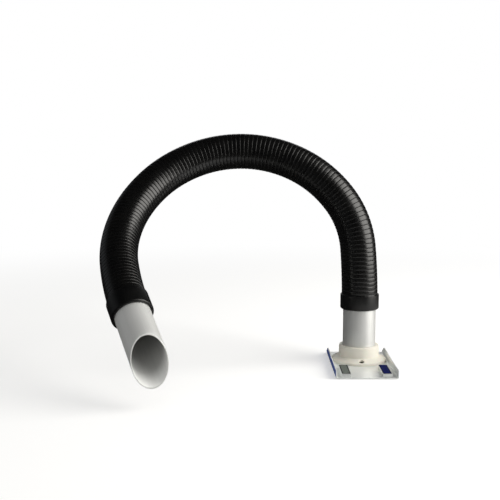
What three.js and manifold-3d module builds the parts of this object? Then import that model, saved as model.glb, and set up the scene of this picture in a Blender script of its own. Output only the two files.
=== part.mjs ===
// A bench fume extraction arm: a channel-shaped base plate with a swivel flange, an upright tube, a
// ribbed hose that stays where it is bent, and an obliquely cut suction nozzle.
// Millimetres and degrees, +Z up. The origin is the middle of the base plate's underside, the arm
// arches over to -X, and the plate's front edge is at -Y.
import * as THREE from "three";
import { mergeVertices } from "three/addons/utils/BufferGeometryUtils.js";
import Module from "manifold-3d";

const wasm = await Module();
wasm.setup();

// Fits and facets
const CLEARANCE = 0.3; // gap between pieces that touch, seat or turn in each other
const ROUND_SIDES = 40; // facets round tubes, cuffs and the flange
const SMALL_SIDES = 16; // facets round screws and their holes
const ARC_STEPS = 4; // facets in a rounded corner
const SEAL_SIDES = 8; // facets round the seal's section
const MERGE_TOLERANCE = 1e-4; // corners closer than this are one corner

// Base plate: a shallow channel with two upturned lips, just wide enough for the flange's rim
const PLATE_LENGTH = 160;
const PLATE_THICKNESS = 1.5;
const LIP_HEIGHT = 12.5;
const LIP_BEND_RADIUS = 2.5; // outer bend radius
const LIP_RIM_GAP = 0.5; // flat floor left beside the flange's rim
const LIP_CUT_LENGTH = 18; // sloped rear corner of each lip
const LIP_CUT_DEPTH = 9;

// Bars on the front of the plate, each a tray with a pad let into its top
const BAR_WIDTH = 13.8;
const BAR_LENGTH = 52;
const BAR_HEIGHT = 5.5;
const BAR_SIDE_GAP = 8.9; // from the plate's side to the bar
const BAR_FRONT_GAP = 4; // from the plate's front edge
const BAR_CORNER_RADIUS = 1;
const TRAY_RIM_WIDTH = 1.1;
const PAD_THICKNESS = 2;

// Swivel flange: a rim, a sloped skirt and a collar round the tube
const AXIS_OFFSET = 28; // the upright tube stands behind the middle of the plate
const RIM_WIDTH = 12; // the rim stands out this far from the collar
const RIM_HEIGHT = 3.8;
const RIM_EDGE_RADIUS = 1;
const SKIRT_HEIGHT = 4.5;
const COLLAR_THICKNESS = 5.2;
const COLLAR_DRAFT_WIDTH = 0.5; // the collar's foot is this much wider on the radius
const COLLAR_HEIGHT = 25;
const COLLAR_EDGE_RADIUS = 1.3;
const LEDGE_HEIGHT = 3; // inner ledge that the tube stands on
const SEAL_THICKNESS = 3;
const SEAL_HEIGHT = 16; // middle of the seal above the flange's underside

// Screws that hold the flange on the plate
const SCREW_COUNT = 3;
const SCREW_DIAMETER = 4.2;
const SCREW_HEAD_DIAMETER = 7.4;
const SCREW_HEAD_HEIGHT = 1.8;
const SCREW_BEVEL_WIDTH = 0.8;
const SCREW_SEAT_HEIGHT = 3.2; // material left under each head

// Tubes
const TUBE_DIAMETER = 50;
const TUBE_THICKNESS = 1.5;
const UPRIGHT_LENGTH = 89.5;

// Ribbed hose, in equal lengths that bend one after the other
const HOSE_STEP_HEIGHT = 2.5; // the ribs stand out this far from the tube's surface
const RIB_DEPTH = 0.8;
const HOSE_THICKNESS = 1;
const RIB_PITCH = 6.3;
const RIBS_PER_LENGTH = 13;
const RIB_CREST_SHARE = 0.5; // place of a rib's crest in its pitch
const HOSE_SIDES = 16;
const RIBS_PER_BORE_RING = 5;
const HOSE_BEND_ANGLES = [5.5, 33.5, 25.5, 25, 27.5, 28, 25, 25, 10]; // bend of each length
const HOSE_TURN_ANGLES = [148.5, 13.5, 13.5, 14, 13.5, 9, 6.5, 3.5, 4]; // turn of each bend about the hose

// Rubber cuffs that join hose and tubes
const CUFF_THICKNESS = 1.7; // over the hose
const CUFF_HOSE_LENGTH = 11.5; // length over the hose's end
const BASE_CUFF_TUBE_LENGTH = 11.5;
const NOZZLE_CUFF_TUBE_LENGTH = 18.5;
const CUFF_LIP_RADIUS = 2.6;
const CUFF_TOP_RADIUS = 1;

// Nozzle: a tube cut obliquely, so one side is long and the other short
const NOZZLE_SHORT_LENGTH = 57.5; // from the cuff to the near end of the cut
const NOZZLE_CUT_ANGLE = 45;
const NOZZLE_TURN_ANGLE = -115.5; // place of the long side about the tube

const TUBE_RADIUS = TUBE_DIAMETER / 2;
const TUBE_BORE = TUBE_RADIUS - TUBE_THICKNESS;
const COLLAR_RADIUS = TUBE_RADIUS + CLEARANCE + COLLAR_THICKNESS;
const RIM_RADIUS = COLLAR_RADIUS + RIM_WIDTH;
const SCREW_RADIUS = (RIM_RADIUS + COLLAR_RADIUS) / 2; // halfway along the skirt
const PLATE_WIDTH = 2 * (RIM_RADIUS + LIP_RIM_GAP + LIP_BEND_RADIUS);
const BAR_SPACING = PLATE_WIDTH - 2 * BAR_SIDE_GAP - BAR_WIDTH; // between the two bars' middles
const HOSE_RADIUS = TUBE_RADIUS + HOSE_STEP_HEIGHT;
const HOSE_LENGTH = RIBS_PER_LENGTH * RIB_PITCH;
const CUFF_RADIUS = HOSE_RADIUS + CLEARANCE + CUFF_THICKNESS;
const rad = THREE.MathUtils.degToRad;

const finishes = {
  brightMetal: { color: 0xc9cdd0, roughness: 0.12, metalness: 1 },
  anodised: { color: 0xb4b5b3, roughness: 0.38, metalness: 0.9 },
  whitePlastic: { color: 0xe9e6dc, roughness: 0.45, metalness: 0 },
  blackHose: { color: 0x121314, roughness: 0.42, metalness: 0 },
  blackRubber: { color: 0x0f1012, roughness: 0.6, metalness: 0 },
  greyPad: { color: 0x6c726d, roughness: 0.5, metalness: 0 },
  bluePad: { color: 0x1b2058, roughness: 0.5, metalness: 0 },
  darkSteel: { color: 0x3a362f, roughness: 0.4, metalness: 0.9 },
};

function piece(name, geometry, finish) {
  const mesh = new THREE.Mesh(geometry, new THREE.MeshStandardMaterial(finishes[finish]));
  mesh.name = name;
  return mesh;
}

// Booleans: a geometry as a closed solid, and a solid back as a geometry
function solid(geometry) {
  const bare = geometry.clone();
  bare.deleteAttribute("normal");
  bare.deleteAttribute("uv");
  const merged = mergeVertices(bare, MERGE_TOLERANCE);
  return new wasm.Manifold(
    new wasm.Mesh({
      numProp: 3,
      vertProperties: merged.getAttribute("position").array,
      triVerts: new Uint32Array(merged.index.array),
    }),
  );
}

function geometryOf(manifold) {
  const mesh = manifold.getMesh();
  const geometry = new THREE.BufferGeometry();
  geometry.setAttribute("position", new THREE.BufferAttribute(mesh.vertProperties, mesh.numProp));
  geometry.setIndex(new THREE.BufferAttribute(mesh.triVerts, 1));
  geometry.computeVertexNormals();
  return geometry;
}

function cut(geometry, ...tools) {
  return geometryOf(tools.reduce((body, tool) => body.subtract(solid(tool)), solid(geometry)));
}

// A closed outline through [x, y, rounding] corners, with each rounded corner as an arc
function outline(corners) {
  const points = [];
  corners.forEach(([x, y, rounding = 0], i) => {
    const corner = new THREE.Vector2(x, y);
    if (rounding === 0) {
      points.push(corner);
      return;
    }
    const [xBefore, yBefore] = corners.at(i - 1);
    const [xAfter, yAfter] = corners[(i + 1) % corners.length];
    const back = new THREE.Vector2(xBefore, yBefore).sub(corner).normalize();
    const ahead = new THREE.Vector2(xAfter, yAfter).sub(corner).normalize();
    const half = Math.acos(THREE.MathUtils.clamp(back.dot(ahead), -1, 1)) / 2;
    const middle = back.clone().add(ahead).normalize();
    const centre = corner.clone().addScaledVector(middle, rounding / Math.sin(half));
    const first = corner.clone().addScaledVector(back, rounding / Math.tan(half)).sub(centre);
    const last = corner.clone().addScaledVector(ahead, rounding / Math.tan(half)).sub(centre);
    const sweep = Math.atan2(first.cross(last), first.dot(last));
    for (let step = 0; step <= ARC_STEPS; step++) {
      const onArc = first.clone().rotateAround(new THREE.Vector2(), (sweep * step) / ARC_STEPS);
      points.push(onArc.add(centre));
    }
  });
  return points;
}

// A [radius, height] outline turned about Z
function turned(corners, sides = ROUND_SIDES) {
  const points = outline(corners);
  points.push(points[0].clone());
  return new THREE.LatheGeometry(points, sides).rotateX(Math.PI / 2);
}

// An [x, z] outline drawn out along Y, with its middle at Y = 0
function drawnAlongY(corners, length) {
  const geometry = new THREE.ExtrudeGeometry(new THREE.Shape(outline(corners)), {
    depth: length,
    bevelEnabled: false,
  });
  return geometry.translate(0, 0, -length / 2).rotateX(Math.PI / 2);
}

function rod(diameter, from, to, sides = SMALL_SIDES) {
  const geometry = new THREE.CylinderGeometry(diameter / 2, diameter / 2, to - from, sides);
  return geometry.rotateX(Math.PI / 2).translate(0, 0, (from + to) / 2);
}

// Places of the flange screws about the upright's axis, the first one at the front
const screwPlaces = Array.from({ length: SCREW_COUNT }, (_, i) => {
  const angle = rad(-90 + (360 / SCREW_COUNT) * i);
  return new THREE.Vector3(Math.cos(angle), Math.sin(angle), 0).multiplyScalar(SCREW_RADIUS);
});

function basePlate() {
  const half = PLATE_WIDTH / 2;
  const inner = half - PLATE_THICKNESS;
  const channel = drawnAlongY(
    [
      [-half, 0, LIP_BEND_RADIUS],
      [half, 0, LIP_BEND_RADIUS],
      [half, LIP_HEIGHT],
      [inner, LIP_HEIGHT],
      [inner, PLATE_THICKNESS, LIP_BEND_RADIUS - PLATE_THICKNESS],
      [-inner, PLATE_THICKNESS, LIP_BEND_RADIUS - PLATE_THICKNESS],
      [-inner, LIP_HEIGHT],
      [-half, LIP_HEIGHT],
    ],
    PLATE_LENGTH,
  );
  // The wedge taken off the lips' rear corners reaches past the plate on every open side
  const spare = PLATE_THICKNESS;
  const slope = LIP_CUT_DEPTH / LIP_CUT_LENGTH;
  const wedge = new THREE.Shape([
    new THREE.Vector2(PLATE_LENGTH / 2 + spare, LIP_HEIGHT - LIP_CUT_DEPTH - spare * slope),
    new THREE.Vector2(PLATE_LENGTH / 2 + spare, LIP_HEIGHT + spare * slope),
    new THREE.Vector2(PLATE_LENGTH / 2 - LIP_CUT_LENGTH - spare, LIP_HEIGHT + spare * slope),
  ]);
  const wedgeWidth = PLATE_WIDTH + 2 * spare;
  const corners = new THREE.ExtrudeGeometry(wedge, { depth: wedgeWidth, bevelEnabled: false })
    .translate(0, 0, -wedgeWidth / 2)
    .rotateX(Math.PI / 2)
    .rotateZ(Math.PI / 2);
  const above = PLATE_THICKNESS + spare;
  const duct = rod(2 * TUBE_BORE, -spare, above, ROUND_SIDES).translate(0, AXIS_OFFSET, 0);
  const holes = screwPlaces.map(({ x, y }) =>
    rod(SCREW_DIAMETER + 2 * CLEARANCE, -spare, above).translate(x, y + AXIS_OFFSET, 0),
  );
  return piece("base_plate", cut(channel, corners, duct, ...holes), "brightMetal");
}

// One bar: a bright tray seated on the plate and the pad let into it
function bar(side, x, padFinish) {
  const group = new THREE.Group();
  const middle = -PLATE_LENGTH / 2 + BAR_FRONT_GAP + BAR_LENGTH / 2;
  group.position.set(x, middle, PLATE_THICKNESS);
  const halfWidth = BAR_WIDTH / 2;
  const halfLength = BAR_LENGTH / 2;
  const plan = new THREE.Shape(
    outline([
      [-halfWidth, -halfLength, BAR_CORNER_RADIUS],
      [halfWidth, -halfLength, BAR_CORNER_RADIUS],
      [halfWidth, halfLength, BAR_CORNER_RADIUS],
      [-halfWidth, halfLength, BAR_CORNER_RADIUS],
    ]),
  );
  const block = new THREE.ExtrudeGeometry(plan, { depth: BAR_HEIGHT, bevelEnabled: false });
  const pocketWidth = BAR_WIDTH - 2 * TRAY_RIM_WIDTH;
  const pocketLength = BAR_LENGTH - 2 * TRAY_RIM_WIDTH;
  const floor = BAR_HEIGHT - PAD_THICKNESS - CLEARANCE;
  const pocket = new THREE.BoxGeometry(pocketWidth, pocketLength, 2 * (BAR_HEIGHT - floor));
  pocket.translate(0, 0, BAR_HEIGHT);
  const pad = new THREE.BoxGeometry(
    pocketWidth - 2 * CLEARANCE,
    pocketLength - 2 * CLEARANCE,
    PAD_THICKNESS,
  );
  pad.translate(0, 0, floor + CLEARANCE + PAD_THICKNESS / 2);
  group.add(piece(`bar_tray_${side}`, cut(block, pocket), "brightMetal"));
  group.add(piece(`bar_pad_${side}`, pad, padFinish));
  return group;
}

function flange() {
  const bore = TUBE_RADIUS + CLEARANCE;
  const groove = bore + SEAL_THICKNESS + CLEARANCE;
  const grooveHalf = SEAL_THICKNESS / 2 + CLEARANCE;
  const body = turned([
    [TUBE_BORE, 0],
    [RIM_RADIUS, 0],
    [RIM_RADIUS, RIM_HEIGHT, RIM_EDGE_RADIUS],
    [COLLAR_RADIUS + COLLAR_DRAFT_WIDTH, RIM_HEIGHT + SKIRT_HEIGHT, COLLAR_EDGE_RADIUS],
    [COLLAR_RADIUS, COLLAR_HEIGHT, COLLAR_EDGE_RADIUS],
    [bore, COLLAR_HEIGHT],
    [bore, SEAL_HEIGHT + grooveHalf],
    [groove, SEAL_HEIGHT + grooveHalf],
    [groove, SEAL_HEIGHT - grooveHalf],
    [bore, SEAL_HEIGHT - grooveHalf],
    [bore, LEDGE_HEIGHT],
    [TUBE_BORE, LEDGE_HEIGHT],
  ]);
  const above = RIM_HEIGHT + 2 * SKIRT_HEIGHT;
  const holes = screwPlaces.flatMap((place) => [
    rod(SCREW_DIAMETER + 2 * CLEARANCE, -SCREW_SEAT_HEIGHT, above).translate(place.x, place.y, 0),
    rod(SCREW_HEAD_DIAMETER + 2 * CLEARANCE, SCREW_SEAT_HEIGHT, above).translate(place.x, place.y, 0),
  ]);
  return piece("flange", cut(body, ...holes), "whitePlastic");
}

// A screw with its head in the skirt and its end level with the plate's underside
function flangeScrew(place, i) {
  const head = SCREW_HEAD_DIAMETER / 2;
  const shank = SCREW_DIAMETER / 2;
  const seat = SCREW_SEAT_HEIGHT + CLEARANCE;
  const top = seat + SCREW_HEAD_HEIGHT;
  const geometry = turned(
    [
      [0, CLEARANCE - PLATE_THICKNESS],
      [shank, CLEARANCE - PLATE_THICKNESS],
      [shank, seat],
      [head, seat],
      [head, top - SCREW_BEVEL_WIDTH],
      [head - SCREW_BEVEL_WIDTH, top],
      [0, top],
    ],
    SMALL_SIDES,
  );
  const mesh = piece(`flange_screw_${i + 1}`, geometry, "darkSteel");
  mesh.position.copy(place);
  return mesh;
}

// A round-section ring in the collar's groove, bearing on the tube
function collarSeal() {
  const radius = SEAL_THICKNESS / 2;
  const middle = TUBE_RADIUS + CLEARANCE + radius;
  const corners = Array.from({ length: SEAL_SIDES }, (_, i) => {
    const angle = (2 * Math.PI * i) / SEAL_SIDES;
    return [middle + radius * Math.cos(angle), SEAL_HEIGHT + radius * Math.sin(angle)];
  });
  return piece("collar_seal", turned(corners), "blackRubber");
}

function tube(length) {
  return turned([
    [TUBE_BORE, 0],
    [TUBE_RADIUS, 0],
    [TUBE_RADIUS, length],
    [TUBE_BORE, length],
  ]);
}

// A sleeve with its mouth at height 0: it grips the tube first and then the hose
function cuff(onTube) {
  const gripTube = TUBE_RADIUS + CLEARANCE;
  const gripHose = HOSE_RADIUS + CLEARANCE;
  const length = onTube + CUFF_HOSE_LENGTH;
  return turned([
    [gripTube, 0],
    [CUFF_RADIUS, 0, CUFF_LIP_RADIUS],
    [CUFF_RADIUS, length, CUFF_TOP_RADIUS],
    [gripHose, length],
    [gripHose, onTube],
    [gripTube, onTube],
  ]);
}

// A point and its frame at a distance along a hose length that is bent from +Z towards +X
function alongHose(bend, distance) {
  const turn = (rad(bend) * distance) / HOSE_LENGTH;
  const radius = HOSE_LENGTH / rad(bend);
  return {
    turn,
    centre: new THREE.Vector3(radius * (1 - Math.cos(turn)), 0, radius * Math.sin(turn)),
    inward: new THREE.Vector3(Math.cos(turn), 0, -Math.sin(turn)),
  };
}

// Ribs and bore of one hose length: rings from end to end outside, and back again inside
function ribbedHose(bend) {
  const groove = HOSE_RADIUS - RIB_DEPTH;
  const bore = groove - HOSE_THICKNESS;
  const first = CLEARANCE / 2;
  const last = HOSE_LENGTH - CLEARANCE / 2;
  const rings = [[first, groove]];
  for (let rib = 0; rib < RIBS_PER_LENGTH; rib++) {
    if (rib > 0) rings.push([rib * RIB_PITCH, groove]);
    rings.push([(rib + RIB_CREST_SHARE) * RIB_PITCH, HOSE_RADIUS]);
  }
  rings.push([last, groove]);
  rings.push([last, bore]);
  for (let rib = RIBS_PER_LENGTH - 1; rib > 0; rib--) {
    if (rib % RIBS_PER_BORE_RING === 0) rings.push([rib * RIB_PITCH, bore]);
  }
  rings.push([first, bore]);

  const sideways = new THREE.Vector3(0, 1, 0);
  const positions = [];
  rings.forEach(([distance, radius]) => {
    const { centre, inward } = alongHose(bend, distance);
    for (let side = 0; side < HOSE_SIDES; side++) {
      const angle = (2 * Math.PI * side) / HOSE_SIDES;
      const point = centre
        .clone()
        .addScaledVector(inward, radius * Math.cos(angle))
        .addScaledVector(sideways, radius * Math.sin(angle));
      positions.push(point.x, point.y, point.z);
    }
  });
  const indices = [];
  rings.forEach((_, ring) => {
    const here = ring * HOSE_SIDES;
    const next = ((ring + 1) % rings.length) * HOSE_SIDES;
    for (let side = 0; side < HOSE_SIDES; side++) {
      const beside = (side + 1) % HOSE_SIDES;
      indices.push(here + side, here + beside, next + beside);
      indices.push(here + side, next + beside, next + side);
    }
  });
  const geometry = new THREE.BufferGeometry();
  geometry.setAttribute("position", new THREE.Float32BufferAttribute(positions, 3));
  geometry.setIndex(indices);
  geometry.computeVertexNormals();
  return geometry;
}

// The nozzle starts inside its cuff and points along +Z, with the long side towards +X
function nozzleTube() {
  const start = CLEARANCE;
  const cutReach = TUBE_DIAMETER * Math.tan(rad(NOZZLE_CUT_ANGLE));
  const tip = NOZZLE_CUFF_TUBE_LENGTH + NOZZLE_SHORT_LENGTH + cutReach;
  const middle = tip - cutReach / 2;
  // The waste is a block at least as wide as the slanted cut
  const knife = 2 * (TUBE_DIAMETER + cutReach);
  const waste = new THREE.BoxGeometry(knife, knife, knife)
    .translate(0, 0, knife / 2)
    .rotateY(-rad(NOZZLE_CUT_ANGLE))
    .translate(0, 0, middle);
  return piece(
    "nozzle_tube",
    cut(tube(tip - start).translate(0, 0, start), waste),
    "anodised",
  );
}

const arm = new THREE.Group();
arm.add(basePlate());
arm.add(bar("left", -BAR_SPACING / 2, "greyPad"));
arm.add(bar("right", BAR_SPACING / 2, "bluePad"));

const pedestal = new THREE.Group();
pedestal.position.set(0, AXIS_OFFSET, PLATE_THICKNESS);
pedestal.add(flange());
pedestal.add(...screwPlaces.map(flangeScrew));
pedestal.add(collarSeal());
arm.add(pedestal);

// The upright stands on the flange's ledge, and the cuff joins its top to the hose's end
const upright = new THREE.Group();
upright.position.set(0, 0, LEDGE_HEIGHT + CLEARANCE);
upright.add(piece("base_tube", tube(UPRIGHT_LENGTH), "anodised"));
const baseCuff = piece("base_cuff", cuff(BASE_CUFF_TUBE_LENGTH), "blackRubber");
baseCuff.position.z = UPRIGHT_LENGTH + CLEARANCE / 2 - BASE_CUFF_TUBE_LENGTH;
upright.add(baseCuff);
pedestal.add(upright);

// Each hose length starts where the one before it ends, and is turned about the hose before it bends
const hoseFoot = new THREE.Group();
hoseFoot.position.z = UPRIGHT_LENGTH + CLEARANCE / 2;
upright.add(hoseFoot);
let hoseEnd = hoseFoot;
HOSE_BEND_ANGLES.forEach((bend, i) => {
  const start = new THREE.Group();
  start.name = `hose_start_${i + 1}`;
  start.rotation.z = rad(HOSE_TURN_ANGLES[i]);
  start.add(piece(`hose_${i + 1}`, ribbedHose(bend), "blackHose"));
  hoseEnd.add(start);
  const { centre, turn } = alongHose(bend, HOSE_LENGTH);
  hoseEnd = new THREE.Group();
  hoseEnd.name = `hose_end_${i + 1}`;
  hoseEnd.position.copy(centre);
  hoseEnd.rotation.y = turn;
  start.add(hoseEnd);
});

const nozzleCuff = piece("nozzle_cuff", cuff(NOZZLE_CUFF_TUBE_LENGTH), "blackRubber");
nozzleCuff.rotation.x = Math.PI;
nozzleCuff.position.z = NOZZLE_CUFF_TUBE_LENGTH;
hoseEnd.add(nozzleCuff);
const nozzle = new THREE.Group();
nozzle.rotation.z = rad(NOZZLE_TURN_ANGLE);
nozzle.add(nozzleTube());
hoseEnd.add(nozzle);

export default arm;
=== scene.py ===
"""The looks of a bench fume extraction arm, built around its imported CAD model."""
from math import atan2, cos, pi, radians, sin, tan

import bmesh
import bpy
import numpy as np
from mathutils import Matrix, Vector

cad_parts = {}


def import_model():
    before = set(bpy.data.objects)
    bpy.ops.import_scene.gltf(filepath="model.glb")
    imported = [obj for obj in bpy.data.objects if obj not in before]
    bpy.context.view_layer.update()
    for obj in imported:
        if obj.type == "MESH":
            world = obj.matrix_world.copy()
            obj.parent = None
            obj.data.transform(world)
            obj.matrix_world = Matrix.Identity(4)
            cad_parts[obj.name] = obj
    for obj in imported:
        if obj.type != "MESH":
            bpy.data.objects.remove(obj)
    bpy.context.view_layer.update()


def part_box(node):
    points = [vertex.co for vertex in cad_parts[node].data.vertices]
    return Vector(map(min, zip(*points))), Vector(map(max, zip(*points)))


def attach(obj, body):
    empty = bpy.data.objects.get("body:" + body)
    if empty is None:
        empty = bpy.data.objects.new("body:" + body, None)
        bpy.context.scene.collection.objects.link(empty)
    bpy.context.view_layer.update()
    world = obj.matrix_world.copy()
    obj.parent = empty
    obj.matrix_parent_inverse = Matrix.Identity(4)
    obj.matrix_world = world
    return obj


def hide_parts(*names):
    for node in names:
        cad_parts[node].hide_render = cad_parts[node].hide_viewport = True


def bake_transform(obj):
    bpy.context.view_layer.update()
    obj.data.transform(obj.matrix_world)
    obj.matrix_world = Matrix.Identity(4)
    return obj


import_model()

scene = bpy.context.scene
MM = 0.001

# Sizes of the CAD model, in millimetres and degrees
CLEARANCE = 0.3
PLATE_LENGTH = 160
PLATE_WIDTH = 91
PLATE_THICKNESS = 1.5
LIP_HEIGHT = 12.5
LIP_BEND_RADIUS = 2.5
LIP_CUT_LENGTH = 18
LIP_CUT_DEPTH = 9
AXIS_OFFSET = 28
RIM_RADIUS = 42.5
RIM_HEIGHT = 3.8
RIM_EDGE_RADIUS = 1
SKIRT_HEIGHT = 4.5
COLLAR_RADIUS = 30.5
COLLAR_DRAFT_WIDTH = 0.5
COLLAR_HEIGHT = 25
COLLAR_EDGE_RADIUS = 1.3
LEDGE_HEIGHT = 3
SEAL_HEIGHT = 16
SEAL_SECTION_RADIUS = 1.5
SCREW_COUNT = 3
SCREW_CIRCLE_RADIUS = 36.5
SCREW_SHANK_RADIUS = 2.1
SCREW_HEAD_RADIUS = 3.7
SCREW_HEAD_HEIGHT = 1.8
SCREW_SEAT_HEIGHT = 3.2
TUBE_RADIUS = 25
TUBE_BORE = 23.5
UPRIGHT_LOW = 4.8
UPRIGHT_HIGH = 94.3
HOSE_FOOT = 94.45
HOSE_RADIUS = 27.5
RIB_PITCH = 6.3
RIBS_PER_LENGTH = 13
HOSE_BENDS = (5.5, 33.5, 25.5, 25, 27.5, 28, 25, 25, 10)
HOSE_TURNS = (148.5, 13.5, 13.5, 14, 13.5, 9, 6.5, 3.5, 4)
CUFF_RADIUS = 29.5
CUFF_LIP_RADIUS = 2.6
CUFF_ON_HOSE = 11.5
BASE_CUFF_ON_TUBE = 11.5
NOZZLE_CUFF_ON_TUBE = 18.5
NOZZLE_SHORT_LENGTH = 57.5
NOZZLE_CUT_ANGLE = 45
NOZZLE_TURN_ANGLE = -115.5

HOSE_LENGTH = RIBS_PER_LENGTH * RIB_PITCH
HOSE_COUNT = len(HOSE_BENDS)
SCREW_HOLE_RADIUS = SCREW_SHANK_RADIUS + CLEARANCE
SCREW_RECESS_RADIUS = SCREW_HEAD_RADIUS + CLEARANCE
SEAL_RADIUS = TUBE_RADIUS + CLEARANCE + SEAL_SECTION_RADIUS

# How finely the meshes are made: points round a piece, and the angle from which an edge stays hard
SIDES = 128
SMALL_SIDES = 48
SEAL_SIDES = 16
HARD_ANGLE = 30


# Meshes

def added(name, data):
    """A new object in the scene."""
    made = bpy.data.objects.new(name, data)
    scene.collection.objects.link(made)
    return made


def smooth(mesh, hard_angle):
    mesh.shade_smooth()
    mesh.set_sharp_from_angle(angle=radians(hard_angle))


def piece(name, points, faces, hard_angle=HARD_ANGLE):
    """A mesh piece from points in metres."""
    mesh = bpy.data.meshes.new(name)
    mesh.from_pydata([tuple(point) for point in points], [], faces)
    shape = bmesh.new()
    shape.from_mesh(mesh)
    bmesh.ops.recalc_face_normals(shape, faces=shape.faces)
    shape.to_mesh(mesh)
    shape.free()
    smooth(mesh, hard_angle)
    return added(name, mesh)


def on_axis(height):
    """The upright's frame at a height in millimetres."""
    return Matrix.Translation((0, AXIS_OFFSET * MM, height * MM))


def around(sides):
    return [2 * pi * side / sides for side in range(sides)]


def ring_faces(rows, sides):
    """Faces between rows of points round an axis, with the last row joined to the first."""
    faces = []
    for row in range(rows):
        here = row * sides
        after = (row + 1) % rows * sides
        for side in range(sides):
            beside = (side + 1) % sides
            faces.append((here + side, here + beside, after + beside, after + side))
    return faces


def rounded(corners, steps=6):
    """A closed outline through (x, y, rounding) corners, with each rounded corner as an arc."""
    points = []
    for i, corner in enumerate(corners):
        here = Vector(corner[:2])
        if len(corner) == 2:
            points.append(here)
            continue
        rounding = corner[2]
        back = (Vector(corners[i - 1][:2]) - here).normalized()
        ahead = (Vector(corners[(i + 1) % len(corners)][:2]) - here).normalized()
        half = back.angle(ahead) / 2
        centre = here + (back + ahead).normalized() * (rounding / sin(half))
        first = here + back * (rounding / tan(half)) - centre
        last = here + ahead * (rounding / tan(half)) - centre
        sweep = atan2(first.cross(last), first.dot(last))
        for step in range(steps + 1):
            points.append(centre + Matrix.Rotation(sweep * step / steps, 2) @ first)
    return points


def turned(name, corners, place, sides=SIDES, hard_angle=HARD_ANGLE):
    """A closed (radius, height) outline in millimetres, turned about Z."""
    outline = rounded(corners)
    angles = around(sides)
    points = [
        place @ (Vector((radius * cos(a), radius * sin(a), height)) * MM)
        for radius, height in outline
        for a in angles
    ]
    return piece(name, points, ring_faces(len(outline), sides), hard_angle)


def drawn(name, corners, low, high, place=Matrix()):
    """A closed (x, z) outline in millimetres, drawn along Y from low to high."""
    outline = rounded(corners)
    count = len(outline)
    points = [place @ (Vector((x, y, z)) * MM) for y in (low, high) for x, z in outline]
    faces = [tuple(range(count)), tuple(reversed(range(count, 2 * count)))]
    for i in range(count):
        after = (i + 1) % count
        faces.append((i, count + i, count + after, after))
    return piece(name, points, faces)


def block(name, low, high):
    """A box between two corners in millimetres."""
    (x0, y0, z0), (x1, y1, z1) = low, high
    return drawn(name, [(x0, z0), (x1, z0), (x1, z1), (x0, z1)], y0, y1)


def rod(name, radius, low, high, place, sides=SMALL_SIDES):
    """A round bar along Z, in millimetres. It is turned by half a side, so that its corners stay clear
    of the points of what it cuts."""
    angles = [angle + pi / sides for angle in around(sides)]
    points = [
        place @ (Vector((radius * cos(a), radius * sin(a), z)) * MM)
        for z in (low, high)
        for a in angles
    ]
    faces = [tuple(range(sides)), tuple(reversed(range(sides, 2 * sides)))]
    for side in range(sides):
        beside = (side + 1) % sides
        faces.append((side, beside, sides + beside, sides + side))
    return piece(name, points, faces)


def bake(made, hard_angle=HARD_ANGLE):
    """Applies a piece's modifiers to its mesh."""
    depsgraph = bpy.context.evaluated_depsgraph_get()
    mesh = bpy.data.meshes.new_from_object(made.evaluated_get(depsgraph))
    made.modifiers.clear()
    made.data = mesh
    smooth(mesh, hard_angle)


def carve(made, *tools):
    """Cuts tools out of a piece, and removes them."""
    for tool in tools:
        cut = made.modifiers.new("cut", "BOOLEAN")
        cut.object = tool
        cut.operation = "DIFFERENCE"
        cut.solver = "EXACT"
    bake(made)
    for tool in tools:
        bpy.data.objects.remove(tool)


def soften(made, width, segments=3, angle=35):
    """Rounds a piece's hard edges a little, as real ones are."""
    bevel = made.modifiers.new("edges", "BEVEL")
    bevel.width = width * MM
    bevel.segments = segments
    bevel.limit_method = "ANGLE"
    bevel.angle_limit = radians(angle)
    bevel.harden_normals = False
    bake(made, hard_angle=45)


def store(made, name, values):
    """Keeps one number for each point of a piece, for its material."""
    kept = made.data.attributes.new(name, "FLOAT", "POINT")
    kept.data.foreach_set("value", np.asarray(values, np.float32).ravel())


# Materials

def grey(level):
    return (level, level, level, 1)


def connect(tree, value, socket):
    """Links a node's output to a socket, or sets the socket to a plain value."""
    if isinstance(value, bpy.types.NodeSocket):
        tree.links.new(value, socket)
    else:
        socket.default_value = value


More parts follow.
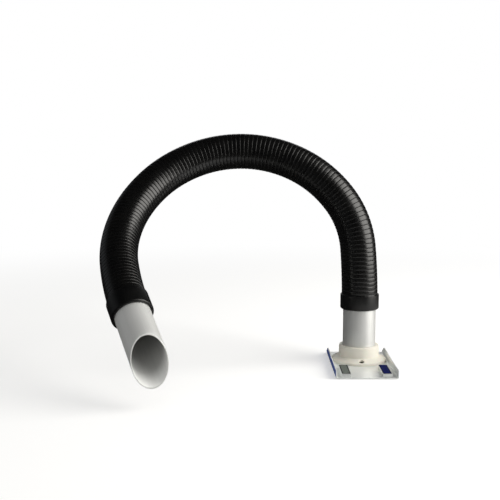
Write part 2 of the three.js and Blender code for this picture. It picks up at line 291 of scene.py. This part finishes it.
class Finish:
    """A procedural material: a Principled shader and the nodes that feed it."""

    def __init__(self, name, **constants):
        self.material = bpy.data.materials.new(name)
        self.material.use_nodes = True
        self.tree = self.material.node_tree
        self.shader = self.tree.nodes["Principled BSDF"]
        for socket, value in constants.items():
            self.shader.inputs[socket.replace("_", " ")].default_value = value

    def node(self, kind, inputs=(), **settings):
        made = self.tree.nodes.new(kind)
        for setting, value in settings.items():
            setattr(made, setting, value)
        for socket, value in dict(inputs).items():
            connect(self.tree, value, made.inputs[socket])
        return made

    def feed(self, socket, value):
        self.tree.links.new(value, self.shader.inputs[socket])

    def place(self, scale=(1, 1, 1), turn=(0, 0, 0)):
        """Object coordinates in metres, turned and then stretched."""
        source = self.node("ShaderNodeTexCoord").outputs["Object"]
        spun = self.node("ShaderNodeMapping", {"Vector": source, "Rotation": turn}).outputs[0]
        return self.node("ShaderNodeMapping", {"Vector": spun, "Scale": scale}).outputs[0]

    def stored(self, name, output="Fac"):
        return self.node("ShaderNodeAttribute", attribute_name=name).outputs[output]

    def noise(self, vector, scale, detail):
        inputs = {"Vector": vector, "Scale": scale, "Detail": detail, "Roughness": 0.55}
        return self.node("ShaderNodeTexNoise", inputs).outputs[0]

    def ramp(self, factor, *stops):
        """Colours, or grey levels, at places from 0 to 1."""
        made = self.node("ShaderNodeValToRGB", {"Fac": factor})
        elements = made.color_ramp.elements
        while len(elements) < len(stops):
            elements.new(0.5)
        for element, (at, value) in zip(elements, stops):
            element.position = at
            element.color = (*value, 1) if isinstance(value, tuple) else grey(value)
        return made.outputs["Color"]

    def spread(self, noise, low, high):
        """From one value to another over most of a noise's range."""
        return self.ramp(noise, (0.3, low), (0.7, high))

    def mix(self, factor, first, second, blend="MIX"):
        made = self.node("ShaderNodeMix", data_type="RGBA", blend_type=blend)
        # Inputs 6 and 7 are the node's two colours
        for index, value in ((0, factor), (6, first), (7, second)):
            connect(self.tree, value, made.inputs[index])
        return made.outputs[2]

    def average(self, first, second):
        return self.mix(0.5, first, second)

    def product(self, first, second):
        return self.mix(1.0, first, second, "MULTIPLY")

    def bump(self, height, strength, depth):
        """Relief from a height, with its depth in millimetres."""
        inputs = {"Height": height, "Strength": strength, "Distance": depth * MM}
        self.feed("Normal", self.node("ShaderNodeBump", inputs).outputs["Normal"])


def hose_finish():
    """Black plastic: painted shade darkening the grooves, faintly rubbed rib tops and a slightly uneven
    gloss.
    """
    made = Finish("hose_plastic", IOR=1.5, Specular_IOR_Level=0.85)
    place = made.stored("hose_place", "Vector")
    rib = made.stored("rib_height")
    cloud = made.noise(place, scale=60, detail=5)
    fine = made.noise(place, scale=900, detail=6)
    # Colours from the groove's bottom to the rib's top: painted shade makes them darker towards the groove
    groove = (0.0004, 0.0004, 0.0005)
    shoulder = (0.0008, 0.0008, 0.0009)
    crest = (0.0014, 0.0013, 0.0012)
    black = made.ramp(rib, (0.0, groove), (0.6, shoulder), (1.0, crest))
    rubbing = (1.8, 1.75, 1.65, 1)
    rubbed_places = made.ramp(cloud, (0.4, 0.0), (0.65, 1.0))
    made.feed("Base Color", made.mix(rubbed_places, black, made.product(black, rubbing)))
    matt_groove = grey(0.75)
    made.feed("Roughness", made.mix(rib, matt_groove, made.spread(cloud, 0.24, 0.3)))
    made.bump(fine, strength=0.2, depth=0.05)
    return made.material


def rubber_finish():
    """Black rubber with a fine grain."""
    made = Finish("cuff_rubber", IOR=1.5, Specular_IOR_Level=0.65)
    place = made.place()
    cloud = made.noise(place, scale=70, detail=5)
    grain = made.noise(place, scale=2600, detail=3)
    dark = (0.0014, 0.0015, 0.0016)
    light = (0.003, 0.003, 0.0029)
    made.feed("Base Color", made.spread(cloud, dark, light))
    made.feed("Roughness", made.spread(cloud, 0.3, 0.4))
    made.bump(grain, strength=0.3, depth=0.06)
    return made.material


# The nozzle's depth, which places the painted light and shade in its bore: 0 outside, MOUTH_DEPTH just inside
# the mouth, and 1 more for each length below, in mm, further in
MOUTH_DEPTH = 0.1
BORE_SHADE_LENGTH = 70


def aluminium_finish(name, metallic, turn, painted_bore=False):
    """Satin anodised tube, with faint drawing lines along its axis. With the bore option it has painted
    light, and is matt, just inside its mouth, and painted shade that darkens it further in."""
    made = Finish(name, Metallic=metallic)
    line_stretch = 0.012
    along = made.place((1, 1, line_stretch), turn)
    lines = made.noise(along, scale=1500, detail=3)
    wide = made.noise(along, scale=260, detail=3)
    cloud = made.noise(made.place(), scale=25, detail=4)
    dark = (0.82, 0.825, 0.81)
    light = (0.92, 0.925, 0.91)
    tint = made.spread(made.average(wide, cloud), dark, light)
    if painted_bore:
        depth = made.stored("depth")
        # Painted light just inside the mouth, and painted shade that darkens the bore further in
        bore_light_and_shade = made.ramp(
            depth, (0.04, 1.0), (MOUTH_DEPTH, 1.06), (0.22, 0.95), (0.45, 0.62), (1.0, 0.5)
        )
        tint = made.product(tint, bore_light_and_shade)
        shine = made.ramp(
            depth, (0.05, metallic), (MOUTH_DEPTH, 0.08), (0.25, 0.15), (0.5, metallic)
        )
        made.feed("Metallic", shine)
    made.feed("Base Color", tint)
    made.feed("Roughness", made.spread(made.average(lines, cloud), 0.45, 0.55))
    made.bump(lines, strength=0.1, depth=0.03)
    return made.material


def plastic_finish():
    """Creamy moulded plastic with a fine grain."""
    made = Finish(
        "flange_plastic",
        IOR=1.5,
        Specular_IOR_Level=0.3,
        Subsurface_Weight=0.06,
        Subsurface_Scale=0.002,
    )
    place = made.place()
    cloud = made.noise(place, scale=45, detail=4)
    grain = made.noise(place, scale=3200, detail=2)
    dark = (0.80, 0.77, 0.68)
    light = (0.86, 0.835, 0.755)
    made.feed("Base Color", made.spread(cloud, dark, light))
    made.feed("Roughness", made.spread(cloud, 0.36, 0.46))
    made.bump(grain, strength=0.2, depth=0.05)
    return made.material


def bright_finish(name, metallic, painted_blue_reflection=False):
    """Bright sheet metal with faint rolling lines. It can carry a painted reflection of a blue backdrop, as
    matt blue on the lips' outer faces.
    """
    made = Finish(name, Metallic=metallic, Specular_IOR_Level=0.3)
    line_stretch = 0.02
    lines = made.noise(made.place((1, line_stretch, 1)), scale=900, detail=3)
    cloud = made.noise(made.place(), scale=40, detail=4)
    colour = made.spread(cloud, (0.89, 0.91, 0.9), (0.94, 0.96, 0.95))
    roughness = made.spread(made.average(lines, cloud), 0.30, 0.38)
    if painted_blue_reflection:
        # Painted reflection of a blue backdrop: matt blue on the lips' outer faces, in place of bare metal
        blue_reflection_mask = made.stored("painted_blue_reflection")
        blue = made.spread(cloud, (0.06, 0.11, 0.4), (0.1, 0.18, 0.56))
        matt_blue_reflection = grey(0.6)
        colour = made.mix(blue_reflection_mask, colour, blue)
        roughness = made.mix(blue_reflection_mask, roughness, matt_blue_reflection)
        made.feed("Metallic", made.ramp(blue_reflection_mask, (0.0, metallic), (1.0, 0.0)))
    made.feed("Base Color", colour)
    made.feed("Roughness", roughness)
    made.bump(lines, strength=0.05, depth=0.02)
    return made.material


def pad_finish(name, dark, light):
    """A rubbery pad, with painted shade along its edges, where the gap round it lies in shadow."""
    made = Finish(name, IOR=1.15, Specular_IOR_Level=0.2)
    streak_stretch = 0.35
    cloud = made.noise(made.place((1, streak_stretch, 1)), scale=160, detail=5)
    grain = made.noise(made.place(), scale=2400, detail=3)
    # Painted shade along the pad's edges, where the gap round it lies in shadow
    painted_edge_shade = made.ramp(made.stored("edge"), (0.0, 1.0), (1.0, 0.2))
    made.feed("Base Color", made.product(made.spread(cloud, dark, light), painted_edge_shade))
    made.feed("Roughness", made.spread(cloud, 0.52, 0.64))
    made.bump(grain, strength=0.25, depth=0.06)
    return made.material


def steel_finish():
    """Dark steel with an uneven tone."""
    made = Finish("screw_steel", Metallic=1.0)
    cloud = made.noise(made.place(), scale=500, detail=4)
    dark = (0.03, 0.026, 0.018)
    light = (0.08, 0.066, 0.045)
    made.feed("Base Color", made.spread(cloud, dark, light))
    made.feed("Roughness", made.spread(cloud, 0.35, 0.55))
    return made.material


def dress(made, material, body, slot, *nodes):
    """Gives a piece its material and the body it rides on, and hides the CAD nodes it stands for. A piece
    with no body here is attached to none."""
    made.data.materials.clear()
    made.data.materials.append(material)
    if body:
        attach(made, body)
    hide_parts(*nodes)


# The hose's route: equal lengths, each turned about the hose and then bent

def along_length(bend, distance):
    """The frame at a distance along one length, which bends from +Z towards +X."""
    turn = radians(bend) * distance / HOSE_LENGTH
    radius = HOSE_LENGTH / radians(bend)
    shift = Vector((radius * (1 - cos(turn)), 0, radius * sin(turn))) * MM
    return Matrix.Translation(shift) @ Matrix.Rotation(turn, 4, "Y")


hose_starts = []
hose_end = on_axis(HOSE_FOOT)
for length_bend, length_turn in zip(HOSE_BENDS, HOSE_TURNS):
    hose_starts.append(hose_end @ Matrix.Rotation(radians(length_turn), 4, "Z"))
    hose_end = hose_starts[-1] @ along_length(length_bend, HOSE_LENGTH)


def on_hose(distance, angle, radius):
    """Points in metres at distances along the hose, at angles round it and radii from its midline.
    The angle is carried on without twist from length to length."""
    index = np.clip((distance / HOSE_LENGTH).astype(int), 0, HOSE_COUNT - 1)
    bend = np.radians(HOSE_BENDS)[index]
    turn = bend * (distance / HOSE_LENGTH - index)
    bend_radius = HOSE_LENGTH / bend
    local = angle - np.radians(np.cumsum(HOSE_TURNS))[index]
    inward = radius * np.cos(local)
    points = np.stack(
        [
            bend_radius * (1 - np.cos(turn)) + inward * np.cos(turn),
            radius * np.sin(local),
            bend_radius * np.sin(turn) - inward * np.sin(turn),
        ],
        axis=-1,
    )
    starts = np.array(hose_starts)[index]
    return np.einsum("nij,nj->ni", starts[:, :3, :3], points * MM) + starts[:, :3, 3]


# A rib across one pitch, from groove to groove: place in the pitch and share of the rib's height
RIB_PROFILE = (
    (0.0, 0.0), (0.03, 0.42), (0.06, 0.8), (0.1, 0.93), (0.24, 0.98), (0.5, 1.0),
    (0.76, 0.98), (0.9, 0.93), (0.94, 0.8), (0.97, 0.42),
)
RIB_HEIGHT = 0.8
HOSE_BORE = 25.6
# The bore takes its colour from this share of a rib's height
BORE_SHARE = 0.4
HOSE_SIDES = 72
# Away from its ends the hose is thinner by this much, reached after this distance
THINNED = 0.4
THINNED_AFTER = 120


def hose_radius(distance):
    """The hose is stretched a little thinner between its cuffs."""
    total = HOSE_COUNT * HOSE_LENGTH
    share = np.clip(np.minimum(distance, total - distance) / THINNED_AFTER, 0, 1)
    return HOSE_RADIUS - THINNED * share * share * (3 - 2 * share)


def hose_piece(name, first, last):
    """The ribs from one groove to another and the bore inside them, closed by a flat ring at each end."""
    outside = [(rib + place, share, False) for rib in range(first, last) for place, share in RIB_PROFILE]
    outside.append((last, 0.0, False))
    bore = [(rib, BORE_SHARE, True) for rib in range(last, first - 1, -1)]
    # Each strip of rows has points of its own, so that the edges of the end rings stay hard
    strips = [outside, [outside[-1], bore[0]], bore, [bore[-1], outside[0]]]
    rows = np.array([row for strip in strips for row in strip], float)[:, :, None]
    angle = np.linspace(0, 2 * pi, HOSE_SIDES, endpoint=False)[None, :]
    distance, share, inside, angle = np.broadcast_arrays(
        rows[:, 0] * RIB_PITCH, rows[:, 1], rows[:, 2], angle
    )
    ribbed = hose_radius(distance) - RIB_HEIGHT * (1 - share)
    radius = np.where(inside > 0, HOSE_BORE, ribbed)
    points = on_hose(distance.ravel(), angle.ravel(), radius.ravel())
    faces = []
    row = 0
    for strip in strips:
        for _ in strip[1:]:
            for side in range(HOSE_SIDES):
                beside = (side + 1) % HOSE_SIDES
                face = (side, beside, beside + HOSE_SIDES, side + HOSE_SIDES)
                faces.append([row * HOSE_SIDES + corner for corner in face])
            row += 1
        row += 1
    mesh = bpy.data.meshes.new(name)
    mesh.from_pydata(points.tolist(), [], faces)
    mesh.shade_smooth()
    made = added(name, mesh)
    straight = np.stack([distance, radius * np.cos(angle), radius * np.sin(angle)], -1) * MM
    place = mesh.attributes.new("hose_place", "FLOAT_VECTOR", "POINT")
    place.data.foreach_set("vector", straight.astype(np.float32).ravel())
    store(made, "rib_height", share)
    return made


def hose(material):
    """The hose in pieces that meet in a groove halfway along each length, bent across each joint."""
    half = RIBS_PER_LENGTH // 2
    dress(hose_piece("hose_lower_end", 0, half), material, "upright", "black_hose", "hose_1")
    for i in range(1, HOSE_COUNT):
        joint = i * RIBS_PER_LENGTH
        first = joint - RIBS_PER_LENGTH + half
        last = joint + half
        made = hose_piece(f"hose_bend_{i}", first, last)
        dress(made, material, None, "black_hose", f"hose_{i}", f"hose_{i + 1}")
        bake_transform(made)
    first = (HOSE_COUNT - 1) * RIBS_PER_LENGTH + half
    made = hose_piece("hose_upper_end", first, HOSE_COUNT * RIBS_PER_LENGTH)
    dress(made, material, "hose_tip", "black_hose", f"hose_{HOSE_COUNT}")


# Base

FIRST_SCREW_ANGLE = -90
screw_angles = [radians(FIRST_SCREW_ANGLE + 360 / SCREW_COUNT * i) for i in range(SCREW_COUNT)]
screw_places = [
    on_axis(PLATE_THICKNESS) @ Matrix.Translation(Vector((cos(a), sin(a), 0)) * SCREW_CIRCLE_RADIUS * MM)
    for a in screw_angles
]


def base_plate(material):
    """A sheet with two upturned lips, sloped at the rear, with holes for the duct and the screws."""
    half = PLATE_WIDTH / 2
    inner = half - PLATE_THICKNESS
    bend = LIP_BEND_RADIUS
    rear = PLATE_LENGTH / 2
    made = drawn(
        "plate",
        [
            (-half, 0, bend),
            (half, 0, bend),
            (half, LIP_HEIGHT),
            (inner, LIP_HEIGHT),
            (inner, PLATE_THICKNESS, bend - PLATE_THICKNESS),
            (-inner, PLATE_THICKNESS, bend - PLATE_THICKNESS),
            (-inner, LIP_HEIGHT),
            (-half, LIP_HEIGHT),
        ],
        -rear,
        rear,
    )
    spare = 2
    slope = LIP_CUT_DEPTH / LIP_CUT_LENGTH
    wedge = drawn(
        "wedge",
        [
            (rear + spare, LIP_HEIGHT - LIP_CUT_DEPTH - spare * slope),
            (rear + spare, LIP_HEIGHT + spare * slope),
            (rear - LIP_CUT_LENGTH - spare, LIP_HEIGHT + spare * slope),
        ],
        -half - spare,
        half + spare,
        Matrix.Rotation(pi / 2, 4, "Z"),
    )
    duct = rod("duct", TUBE_BORE, -spare, PLATE_THICKNESS + spare, on_axis(0), SIDES)
    holes = [
        rod("hole", SCREW_HOLE_RADIUS, -PLATE_THICKNESS - spare, spare, place)
        for place in screw_places
    ]
    carve(made, wedge, duct, *holes)
    soften(made, width=0.3)
    points = np.array([vertex.co for vertex in made.data.vertices]) / MM
    on_face = np.abs(points[:, 0]) > half - 0.02
    on_lip = points[:, 2] > LIP_BEND_RADIUS - 0.1
    # Marks the lips' outer faces, where a painted blue reflection goes
    store(made, "painted_blue_reflection", on_face & on_lip)
    dress(made, material, "base", "bright_metal", "base_plate")


def mark_edge(pad):
    """Marks a pad's sides and a border of its top, where its material paints shade."""
    border = 1.1
    fade = 0.3
    shape = bmesh.new()
    shape.from_mesh(pad.data)
    top = max(shape.faces, key=lambda face: face.calc_area() * face.normal.z)
    bmesh.ops.inset_region(shape, faces=[top], thickness=border * MM)
    bmesh.ops.inset_region(shape, faces=[top], thickness=fade * MM)
    shape.verts.index_update()
    inner = {vertex.index for vertex in top.verts}
    shape.to_mesh(pad.data)
    shape.free()
    store(pad, "edge", [i not in inner for i in range(len(pad.data.vertices))])


def bar(side, tray_material, pad_material, pad_slot):
    """A bright tray with a pad in its top, in the place of its CAD nodes. The pad is a little wider."""
    wider = 0.6
    gap = 0.2
    above = 3
    low, high = (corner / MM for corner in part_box(f"bar_tray_{side}"))
    pad_low, pad_high = (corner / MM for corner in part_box(f"bar_pad_{side}"))
    pad_low -= Vector((wider, wider, 0))
    pad_high += Vector((wider, wider, 0))
    tray = block(f"tray_{side}", low, high)
    pocket = block("pocket", pad_low - Vector((gap, gap, gap)), pad_high + Vector((gap, gap, above)))
    carve(tray, pocket)
    soften(tray, width=0.25)
    dress(tray, tray_material, "base", "bright_metal", f"bar_tray_{side}")
    pad = block(f"pad_{side}", pad_low, pad_high)
    soften(pad, width=0.35)
    mark_edge(pad)
    dress(pad, pad_material, "base", pad_slot, f"bar_pad_{side}")


def flange(material):
    """Rim, sloped skirt and collar, with a ledge and the seal's groove inside and sunk screw seats."""
    bore = TUBE_RADIUS + CLEARANCE
    groove = bore + 2 * SEAL_SECTION_RADIUS + CLEARANCE
    groove_half = SEAL_SECTION_RADIUS + CLEARANCE
    fine_edge = 0.4
    made = turned(
        "swivel_flange",
        [
            (TUBE_BORE, 0),
            (RIM_RADIUS, 0, fine_edge),
            (RIM_RADIUS, RIM_HEIGHT, RIM_EDGE_RADIUS),
            (COLLAR_RADIUS + COLLAR_DRAFT_WIDTH, RIM_HEIGHT + SKIRT_HEIGHT, COLLAR_EDGE_RADIUS),
            (COLLAR_RADIUS, COLLAR_HEIGHT, COLLAR_EDGE_RADIUS),
            (bore, COLLAR_HEIGHT, fine_edge),
            (bore, SEAL_HEIGHT + groove_half),
            (groove, SEAL_HEIGHT + groove_half),
            (groove, SEAL_HEIGHT - groove_half),
            (bore, SEAL_HEIGHT - groove_half),
            (bore, LEDGE_HEIGHT),
            (TUBE_BORE, LEDGE_HEIGHT),
        ],
        on_axis(PLATE_THICKNESS),
    )
    spare = 1
    above = 14
    recesses = [
        rod("recess", SCREW_RECESS_RADIUS, SCREW_SEAT_HEIGHT, above, place) for place in screw_places
    ]
    holes = [
        rod("hole", SCREW_HOLE_RADIUS, -spare, SCREW_SEAT_HEIGHT + spare, place)
        for place in screw_places
    ]
    carve(made, *recesses, *holes)
    soften(made, width=0.25, segments=2, angle=40)
    dress(made, material, "base", "white_plastic", "flange")


def flange_screw(index, place, material):
    """A screw with a domed head and two crossed slots."""
    foot = CLEARANCE - PLATE_THICKNESS
    seat = SCREW_SEAT_HEIGHT + CLEARANCE
    top = seat + SCREW_HEAD_HEIGHT
    near_axis = 0.001
    dome_radius = 2.6
    made = turned(
        f"screw_{index}",
        [
            (near_axis, foot),
            (SCREW_SHANK_RADIUS, foot),
            (SCREW_SHANK_RADIUS, seat),
            (SCREW_HEAD_RADIUS, seat),
            (SCREW_HEAD_RADIUS, seat + SCREW_HEAD_HEIGHT / 2, 0.3),
            (dome_radius, top, 0.8),
            (near_axis, top),
        ],
        place,
        SMALL_SIDES,
    )
    slot_reach = 2
    slot_half = 0.4
    slot_floor = seat + 0.6
    slot_top = seat + 3
    slot_turn = 0.4
    slot = [
        (-slot_reach, slot_floor), (slot_reach, slot_floor), (slot_reach, slot_top), (-slot_reach, slot_top)
    ]
    slots = [
        drawn("slot", slot, -slot_half, slot_half, place @ Matrix.Rotation(angle + slot_turn, 4, "Z"))
        for angle in (0, pi / 2)
    ]
    carve(made, *slots)
    dress(made, material, "base", "dark_steel", f"flange_screw_{index}")


def collar_seal(material):
    """A rubber ring in the collar, round in section."""
    section = [
        (SEAL_RADIUS + SEAL_SECTION_RADIUS * cos(a), SEAL_SECTION_RADIUS * sin(a))
        for a in around(SEAL_SIDES)
    ]
    made = turned("seal_ring", section, on_axis(PLATE_THICKNESS + SEAL_HEIGHT))
    dress(made, material, "base", "black_rubber", "collar_seal")


# Arm

def base_tube(material):
    edge = 0.25
    made = turned(
        "upright_tube",
        [
            (TUBE_BORE, UPRIGHT_LOW, edge),
            (TUBE_RADIUS, UPRIGHT_LOW, edge),
            (TUBE_RADIUS, UPRIGHT_HIGH, edge),
            (TUBE_BORE, UPRIGHT_HIGH, edge),
        ],
        on_axis(0),
    )
    dress(made, material, "upright", "anodised", "base_tube")


def cuff(name, on_tube, place, material, body, node):
    """A rubber sleeve from its rolled mouth on the tube to its plain edge on the hose."""
    grip_tube = TUBE_RADIUS + CLEARANCE
    grip_hose = HOSE_RADIUS + CLEARANCE
    length = on_tube + CUFF_ON_HOSE
    fine_edge = 0.3
    plain_edge = 0.7
    made = turned(
        name,
        [
            (grip_tube, 0, fine_edge),
            (CUFF_RADIUS, 0, CUFF_LIP_RADIUS),
            (CUFF_RADIUS, length, plain_edge),
            (grip_hose, length, fine_edge),
            (grip_hose, on_tube),
            (grip_tube, on_tube),
        ],
        place,
        hard_angle=50,
    )
    dress(made, material, body, "black_rubber", node)


def nozzle_tube(material):
    """A tube cut off obliquely, with the sharp edge of the cut taken off on both sides."""
    edge = 0.3
    start = CLEARANCE
    slope = tan(radians(NOZZLE_CUT_ANGLE))
    middle = NOZZLE_CUFF_ON_TUBE + NOZZLE_SHORT_LENGTH + TUBE_RADIUS * slope
    place = hose_end @ Matrix.Rotation(radians(NOZZLE_TURN_ANGLE), 4, "Z")
    row_count = 24
    shares = [row / row_count for row in range(row_count + 1)]
    # Each row is a radius, a share of the way to the cut, and how far it stops short of it
    section = [(TUBE_RADIUS, share, edge) for share in shares]
    section += [(TUBE_RADIUS - edge, 1, 0), (TUBE_BORE + edge, 1, 0)]
    section += [(TUBE_BORE, share, edge) for share in reversed(shares)]
    points = []
    depths = []
    for radius, share, short in section:
        for angle in around(SIDES):
            end = middle + radius * cos(angle) * slope - short
            along = start + (end - start) * share
            points.append(place @ (Vector((radius * cos(angle), radius * sin(angle), along)) * MM))
            depths.append(MOUTH_DEPTH + (end - along) / BORE_SHADE_LENGTH if radius == TUBE_BORE else 0.0)
    made = piece("nozzle", points, ring_faces(len(section), SIDES))
    # The depth places the painted light and shade in the bore
    store(made, "depth", depths)
    dress(made, material, "nozzle", "anodised", "nozzle_tube")


def build():
    bright = bright_finish("bright_sheet", metallic=0.8)
    rubber = rubber_finish()
    # The plate's lips carry a painted blue reflection
    base_plate(bright_finish("bright_sheet_with_painted_blue_reflection", metallic=0.45, painted_blue_reflection=True))
    # The grey pad's colour is a painted reflection of the upright's shaded side
    grey_pad = pad_finish("grey_pad", dark=(0.12, 0.135, 0.12), light=(0.19, 0.21, 0.19))
    bar("left", bright, grey_pad, "grey_pad")
    # The navy pad's colour is a painted reflection of a blue backdrop
    navy_painted_reflection = pad_finish("navy_painted_reflection", dark=(0.002, 0.005, 0.075), light=(0.004, 0.01, 0.12))
    bar("right", bright, navy_painted_reflection, "blue_pad")
    flange(plastic_finish())
    steel = steel_finish()
    for index, place in enumerate(screw_places, 1):
        flange_screw(index, place, steel)
    collar_seal(rubber)
    base_tube(aluminium_finish("upright_aluminium", metallic=0.75, turn=(0, 0, 0)))
    lower_mouth = on_axis(HOSE_FOOT - BASE_CUFF_ON_TUBE)
    cuff("lower_cuff", BASE_CUFF_ON_TUBE, lower_mouth, rubber, "upright", "base_cuff")
    hose(hose_finish())
    past_hose = Matrix.Translation((0, 0, NOZZLE_CUFF_ON_TUBE * MM))
    upper_mouth = hose_end @ past_hose @ Matrix.Rotation(pi, 4, "X")
    cuff("upper_cuff", NOZZLE_CUFF_ON_TUBE, upper_mouth, rubber, "hose_tip", "nozzle_cuff")
    to_nozzle = tuple(hose_end.to_3x3().inverted().to_euler())
    nozzle_tube(aluminium_finish("nozzle_aluminium", metallic=0.45, turn=to_nozzle, painted_bore=True))


# Stage

OBJECT_MIDDLE = (-0.16, 0, 0.18)


class Stage:
    """Nodes for the floor and the world, which differ for the camera and for mirrored rays."""

    def __init__(self, tree):
        tree.nodes.clear()
        self.tree = tree
        path = self.node("ShaderNodeLightPath")
        self.seen = path["Is Camera Ray"]
        self.mirrored = self.math("MAXIMUM", path["Is Glossy Ray"], path["Is Transmission Ray"])

    def node(self, kind, *inputs, **settings):
        made = self.tree.nodes.new(kind)
        for setting, value in settings.items():
            setattr(made, setting, value)
        for socket, value in zip(made.inputs, inputs):
            connect(self.tree, value, socket)
        return made.outputs

    def math(self, operation, *values):
        return self.node("ShaderNodeMath", *values, operation=operation)[0]

    def product(self, first, second):
        return self.math("MULTIPLY", first, second)

    def measure(self, operation, *vectors):
        return self.node("ShaderNodeVectorMath", *vectors, operation=operation)["Value"]

    def fade(self, value, start, end):
        """Rises smoothly from 0 at start to 1 at end."""
        return self.node("ShaderNodeMapRange", value, start, end, interpolation_type="SMOOTHSTEP")[0]

    def mix(self, factor, first, second):
        return self.node("ShaderNodeMixShader", factor, first, second)[0]

    def matt(self, level):
        return self.node("ShaderNodeBsdfDiffuse", grey(level))[0]

    def glow(self, strength):
        return self.node("ShaderNodeEmission", grey(1), strength)[0]

    def sky(self, red, green, blue):
        return self.node("ShaderNodeBackground", (red, green, blue, 1), 1.0)[0]

    def finish(self, kind, surface):
        self.tree.links.new(surface, self.tree.nodes.new(kind).inputs["Surface"])


def floor():
    """A pale floor that keeps the object's shadow, and for the camera turns white further out. Mirrored
    rays see it dark, apart from a lit patch beside and in front of the base."""
    size = 8
    just_below = -0.0004
    mesh = bpy.data.meshes.new("floor")
    corners = [(-size, -size, 0), (size, -size, 0), (size, size, 0), (-size, size, 0)]
    mesh.from_pydata(corners, [], [(0, 1, 2, 3)])
    made = added("floor", mesh)
    made.location = (OBJECT_MIDDLE[0], OBJECT_MIDDLE[1], just_below)
    material = bpy.data.materials.new("pale_floor")
    material.use_nodes = True
    stage = Stage(material.node_tree)
    place = stage.node("ShaderNodeTexCoord")["Object"]
    pale = stage.matt(0.9)
    dark = stage.matt(0.035)
    base = (0.16, 0.03, 0)
    to_right_and_front = (0.75, -0.66, 0)
    near_base = stage.fade(stage.measure("DISTANCE", place, base), 0.48, 0.36)
    beside = stage.fade(stage.measure("DOT_PRODUCT", place, to_right_and_front), -0.05, 0.35)
    reflected = stage.mix(stage.product(near_base, beside), dark, pale)
    paint = stage.mix(stage.mirrored, pale, reflected)
    lift = stage.glow(stage.product(stage.seen, 0.36))
    near = stage.node("ShaderNodeAddShader", paint, lift)[0]
    white = stage.glow(1.0)
    far = stage.fade(stage.measure("LENGTH", place), 0.5, 1.6)
    stage.finish("ShaderNodeOutputMaterial", stage.mix(stage.product(far, stage.seen), near, white))
    mesh.materials.append(material)


def world():
    """Soft light from all round, most of it from above, in front and the right. Mirrored rays see a dark
    room instead, with a white sheet low behind the object and a grey wall on the left, because a white
    room all round turns the black hose grey. The camera sees white."""
    made = bpy.data.worlds.new("studio")
    scene.world = made
    made.use_nodes = True
    stage = Stage(made.node_tree)
    direction = stage.node("ShaderNodeTexCoord")["Generated"]
    across, ahead, above = stage.node("ShaderNodeSeparateXYZ", direction)
    white = stage.sky(1, 1, 1)

    lightest = (0.45, -0.35, 0.5)
    facing = stage.fade(stage.measure("DOT_PRODUCT", direction, lightest), -0.05, 0.6)
    soft_light = stage.mix(facing, stage.sky(0.3, 0.3, 0.3), stage.sky(0.55, 0.55, 0.54))

    wall_height = stage.product(stage.fade(above, -0.04, 0.1), stage.fade(above, 0.6, 0.35))
    wall = stage.product(stage.fade(across, -0.3, -0.55), wall_height)
    dark_room = stage.mix(wall, stage.sky(0.008, 0.008, 0.009), stage.sky(0.11, 0.115, 0.12))
    studio = stage.mix(stage.mirrored, soft_light, dark_room)

    aside = stage.math("ABSOLUTE", across)
    sheet_width = stage.product(stage.fade(aside, 0.3, 0.18), stage.fade(ahead, 0.1, 0.3))
    sheet_height = stage.product(stage.fade(above, 0.5, 0.36), stage.fade(above, 0.04, 0.16))
    sheet = stage.product(sheet_width, sheet_height)
    shows_white = stage.math("MAXIMUM", stage.seen, stage.product(stage.mirrored, sheet))
    stage.finish("ShaderNodeOutputWorld", stage.mix(shows_white, studio, white))


def key_light():
    """One large, slightly warm softbox on the right, above the object."""
    data = bpy.data.lights.new("key_right", "AREA")
    data.shape = "RECTANGLE"
    data.size = 1.4
    data.size_y = 1.8
    data.energy = 26
    data.color = (1, 0.98, 0.935)
    made = added("key_right", data)
    made.location = (1.267, -0.316, 0.831)
    aim = Vector(OBJECT_MIDDLE) - made.location
    made.rotation_euler = aim.to_track_quat("-Z", "Y").to_euler()


def camera():
    """The photograph's view, level from side to side and looking a little down."""
    looking_down = 7.28
    data = bpy.data.cameras.new("photo_camera")
    data.lens = 64.8
    data.sensor_width = 36
    data.clip_start = 0.05
    data.clip_end = 50
    made = added("photo_camera", data)
    made.location = (-0.1689, -1.3392, 0.3481)
    made.rotation_euler = (radians(90 - looking_down), 0, 0)
    scene.camera = made


camera()
build()
floor()
world()
key_light()
scene.view_settings.view_transform = "Standard"
